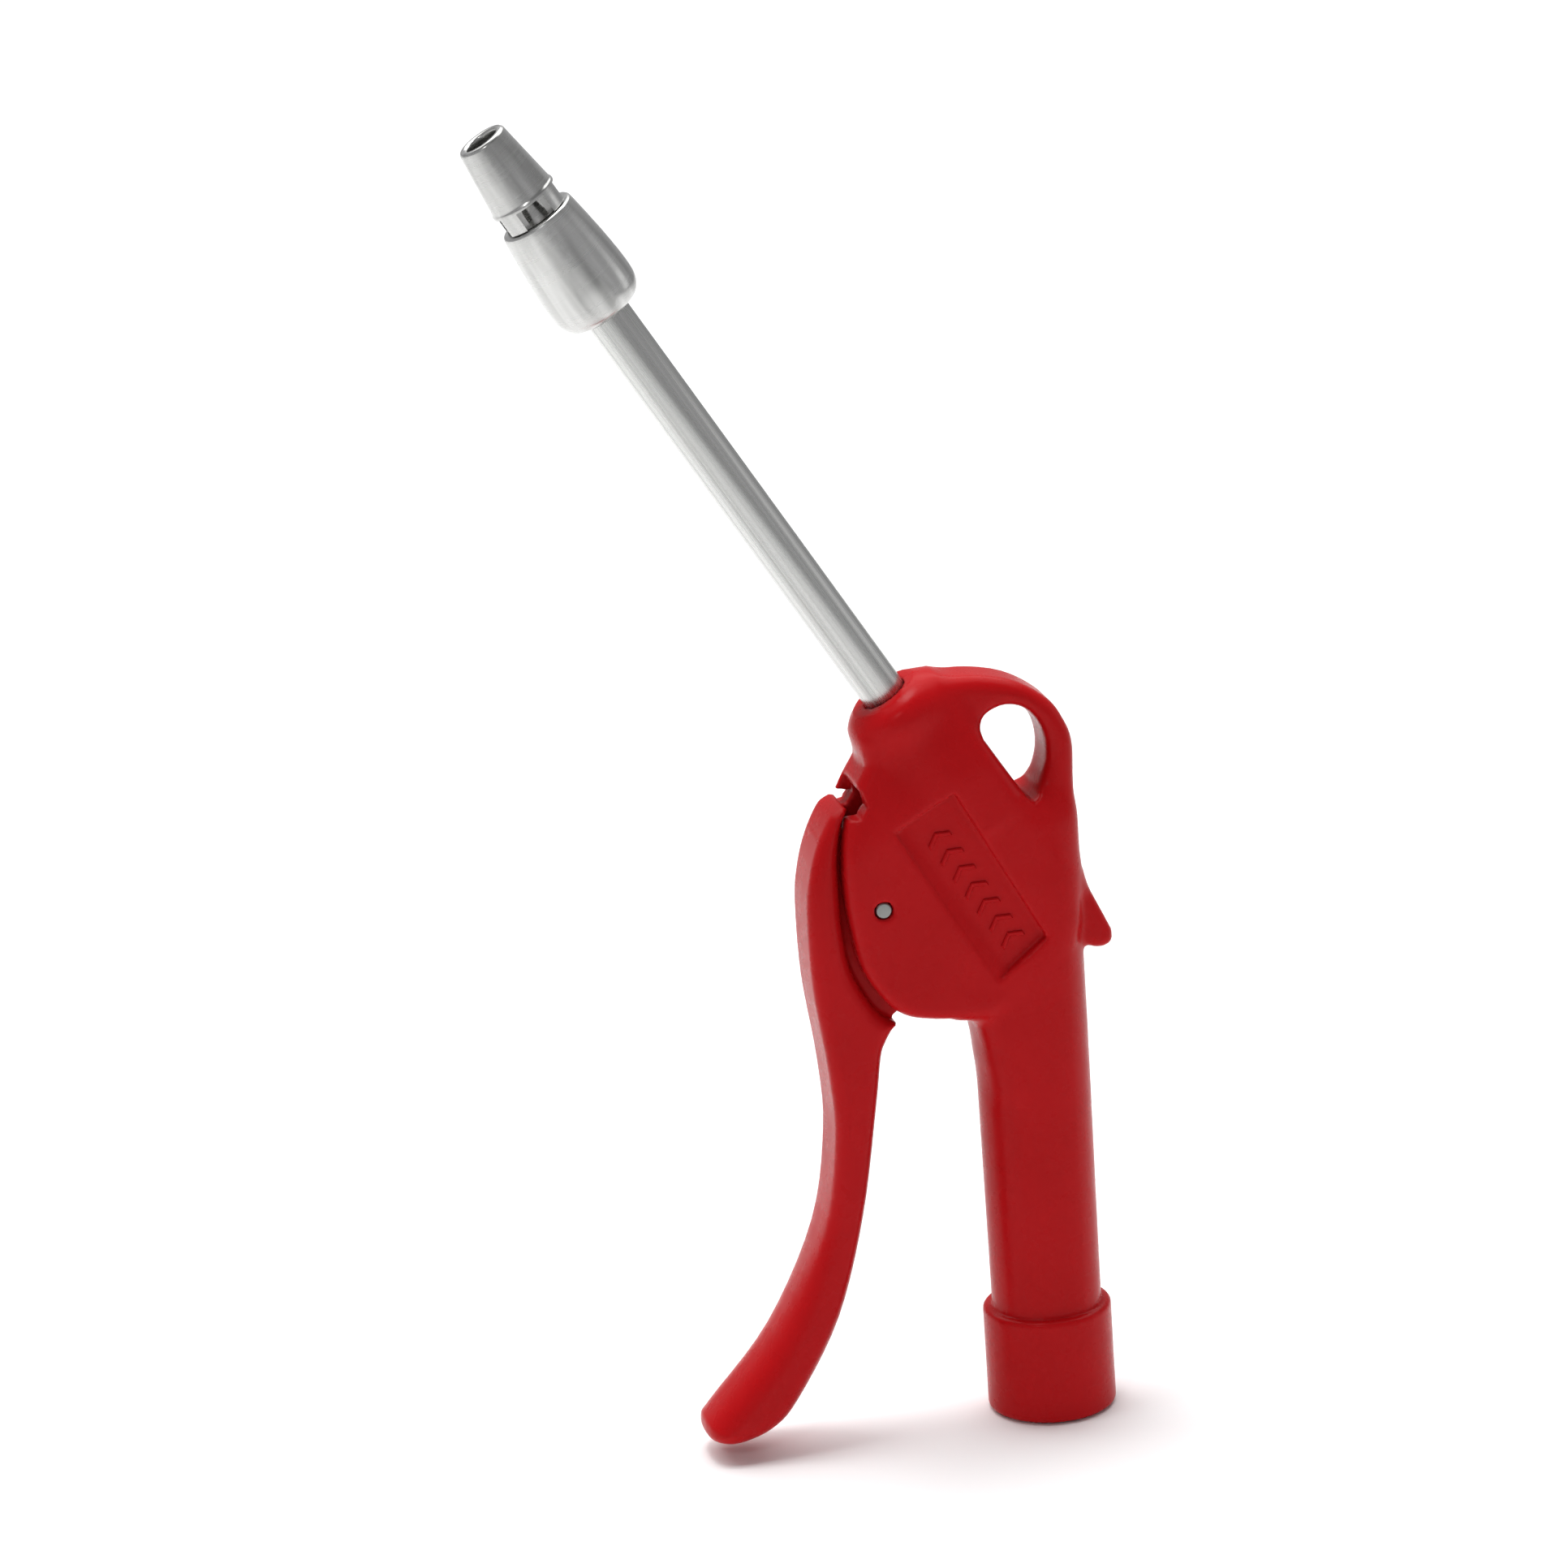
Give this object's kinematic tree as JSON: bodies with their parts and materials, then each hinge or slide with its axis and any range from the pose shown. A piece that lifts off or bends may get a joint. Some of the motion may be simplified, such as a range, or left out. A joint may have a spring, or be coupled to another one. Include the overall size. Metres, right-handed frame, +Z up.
{
  "type": "compressed-air blow gun",
  "caption": "Hand-held blow gun: lever-worked poppet valve in a moulded handle, with a slanted metal nozzle tube ending in a windowed safety tip.",
  "frame": {"origin": "centre of the air inlet's mouth, in the plane of the collar's end face", "axes": "+Z up along the handle, -X towards the lever and the nozzle, +Y and -Y through the two cheeks"},
  "size_m": [0.1051, 0.0232, 0.2446],
  "materials": {
    "red_nylon": "semi-gloss moulded glass-filled nylon",
    "nickel_plate": "satin nickel plate on turned metal",
    "brass": "turned brass",
    "steel": "ground stainless steel",
    "nitrile": "moulded nitrile rubber"
  },
  "bodies": {
    "gun_body": {"body": "red_nylon", "lever_pin": "steel", "inlet_insert": "brass", "insert_oring": "nitrile", "nozzle_socket": "brass", "tube_oring": "nitrile", "nozzle_tube": "nickel_plate", "tip_barrel": "nickel_plate", "tip_jet": "nickel_plate", "tip_shroud": "nickel_plate", "valve_cartridge": "brass", "cartridge_oring_front": "nitrile", "cartridge_oring_rear": "nitrile", "cartridge_circlip": "steel", "stem_seal": "nitrile", "valve_spring": "steel", "spring_cup": "brass"},
    "lever": {"lever": "red_nylon"},
    "valve_stem": {"valve_stem": "steel", "poppet_seal": "nitrile", "poppet_washer": "brass", "stem_clip": "steel"}
  },
  "joints": [
    {"name": "lever_hinge", "type": "hinge", "parent": "gun_body", "child": "lever", "pos_m": [-0.0274, 0, 0.1002], "axis": [0, -1, 0], "range_deg": [0, 8], "stiffness_Nm_per_rad": 0.4, "springref_deg": -28.65},
    {"name": "valve_stem_slide", "type": "slide", "parent": "gun_body", "child": "valve_stem", "axis": [0.8572, 0, 0.515], "range_m": [0, 0.0022], "deforming": ["valve_spring"]}
  ],
  "couplings": [
    {"joint": "valve_stem_slide", "follows": "lever_hinge", "m_per_rad": 0.01512}
  ]
}
